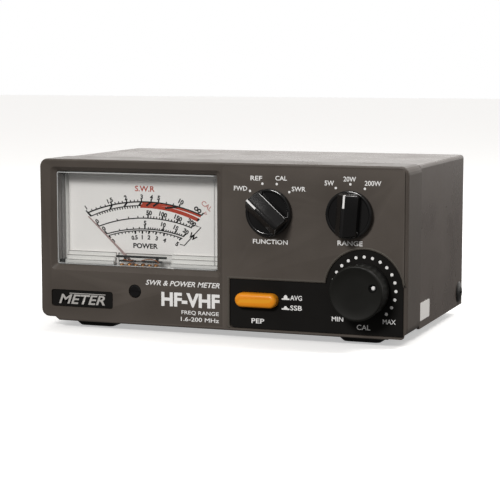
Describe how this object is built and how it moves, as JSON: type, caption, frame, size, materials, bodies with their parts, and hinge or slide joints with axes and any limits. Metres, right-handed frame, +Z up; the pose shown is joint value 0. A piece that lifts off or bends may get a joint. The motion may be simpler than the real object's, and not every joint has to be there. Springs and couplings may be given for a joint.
{
  "type": "swr meter",
  "caption": "bench SWR and power meter: large moving-coil panel meter, two bar knobs, a round calibration knob and an orange push button on a grey steel case with rear coaxial sockets",
  "frame": {"origin": "on the ground under the middle of the whole object, sockets and knobs included", "axes": "+X to the right as the front is seen, +Y from the front to the rear, +Z up"},
  "size_m": [0.1564, 0.1202, 0.0692],
  "materials": {
    "grey_paint": "satin, fine texture",
    "cover_paint": "satin",
    "chassis_steel": "zinc plated",
    "black_inlay": "satin",
    "black_knob": "semi-gloss",
    "black_moulding": "satin",
    "black_steel": "black oxide",
    "foot_rubber": "matte",
    "label_white": "satin",
    "clear_lens": "clear, polished",
    "dial_white": "matte",
    "steel": "bright",
    "magnet": "ground",
    "brass": "bright",
    "bronze": "bright",
    "copper": "enamelled",
    "silver": "plated",
    "nickel": "nickel plated",
    "ptfe": "waxy",
    "orange_button": "semi-gloss",
    "white_plastic": "satin",
    "board_green": "lacquered",
    "tinplate": "tinned",
    "lamp": "frosted",
    "lead_black": "sleeved"
  },
  "bodies": {
    "case": {"antenna_connector": "nickel", "antenna_contact": "silver", "antenna_insulator": "ptfe", "badge_plate": "black_inlay", "bezel_screw_left": "black_steel", "bezel_screw_right": "black_steel", "cal_nut": "steel", "cal_potentiometer": "black_moulding", "chassis_tray": "chassis_steel", "control_board": "board_green", "control_inlay": "black_inlay", "coupler_box": "tinplate", "coupler_harness": "lead_black", "coupler_line": "copper", "cover_screw_left": "black_steel", "cover_screw_right": "black_steel", "dc_jack": "black_moulding", "dc_lead": "lead_black", "dial_lamp": "lamp", "dial_screw_left": "steel", "dial_screw_right": "steel", "foot_front_left": "foot_rubber", "foot_front_right": "foot_rubber", "foot_rear_left": "foot_rubber", "foot_rear_right": "foot_rubber", "front_bezel": "grey_paint", "function_nut": "steel", "function_switch": "black_moulding", "jewel_screw": "brass", "magnet_core": "magnet", "meter_base": "black_moulding", "meter_dial": "dial_white", "meter_lens_cover": "clear_lens", "meter_terminal_negative": "brass", "meter_terminal_positive": "brass", "meter_yoke": "steel", "movement_bridge": "black_moulding", "pep_switch": "black_moulding", "range_nut": "steel", "range_switch": "black_moulding", "sense_board": "board_green", "side_label": "label_white", "top_cover": "cover_paint", "tx_connector": "nickel", "tx_contact": "silver", "tx_insulator": "ptfe"},
    "function_control": {"function_knob": "black_knob", "function_shaft": "steel"},
    "range_control": {"range_knob": "black_knob", "range_shaft": "steel"},
    "cal_control": {"cal_knob": "black_knob", "cal_shaft": "steel"},
    "pep_control": {"pep_button": "orange_button", "pep_plunger": "white_plastic", "pep_spring": "steel"},
    "needle_movement": {"needle": "black_inlay", "moving_coil": "copper", "hairspring": "bronze"},
    "zero_screw": {"zero_adjust_screw": "black_moulding"},
    "zero_arm": {"zero_adjust_arm": "brass"}
  },
  "joints": [
    {"name": "function_turn", "type": "hinge", "parent": "case", "child": "function_control", "pos_m": [0.02224, -0.0489, 0.0504], "axis": [0, 1, 0], "range_deg": [0, 93]},
    {"name": "range_turn", "type": "hinge", "parent": "case", "child": "range_control", "pos_m": [0.05475, -0.0489, 0.0506], "axis": [0, 1, 0], "range_deg": [-34, 26]},
    {"name": "cal_turn", "type": "hinge", "parent": "case", "child": "cal_control", "pos_m": [0.06037, -0.0489, 0.02192], "axis": [0, 1, 0], "range_deg": [-206, 64]},
    {"name": "pep_press", "type": "slide", "parent": "case", "child": "pep_control", "axis": [0, 1, 0], "range_m": [0, 0.003], "stiffness_N_per_m": 400, "springref_m": -0.001, "deforming": ["pep_spring"]},
    {"name": "needle_swing", "type": "hinge", "parent": "case", "child": "needle_movement", "pos_m": [-0.0354, -0.0489, 0.0221], "axis": [0, 1, 0], "range_deg": [0, 92.5], "stiffness_Nm_per_rad": 0.0001, "springref_deg": -11.46},
    {"name": "zero_adjust", "type": "hinge", "parent": "case", "child": "zero_screw", "pos_m": [-0.0354, -0.0489, 0.0166], "axis": [0, 1, 0], "range_deg": [-60, 60]},
    {"name": "zero_arm_turn", "type": "hinge", "parent": "case", "child": "zero_arm", "pos_m": [-0.0354, -0.0489, 0.0221], "axis": [0, 1, 0], "range_deg": [-6.5, 6.5]}
  ],
  "couplings": [
    {"joint": "zero_arm_turn", "follows": "zero_adjust", "ratio": -0.1}
  ]
}
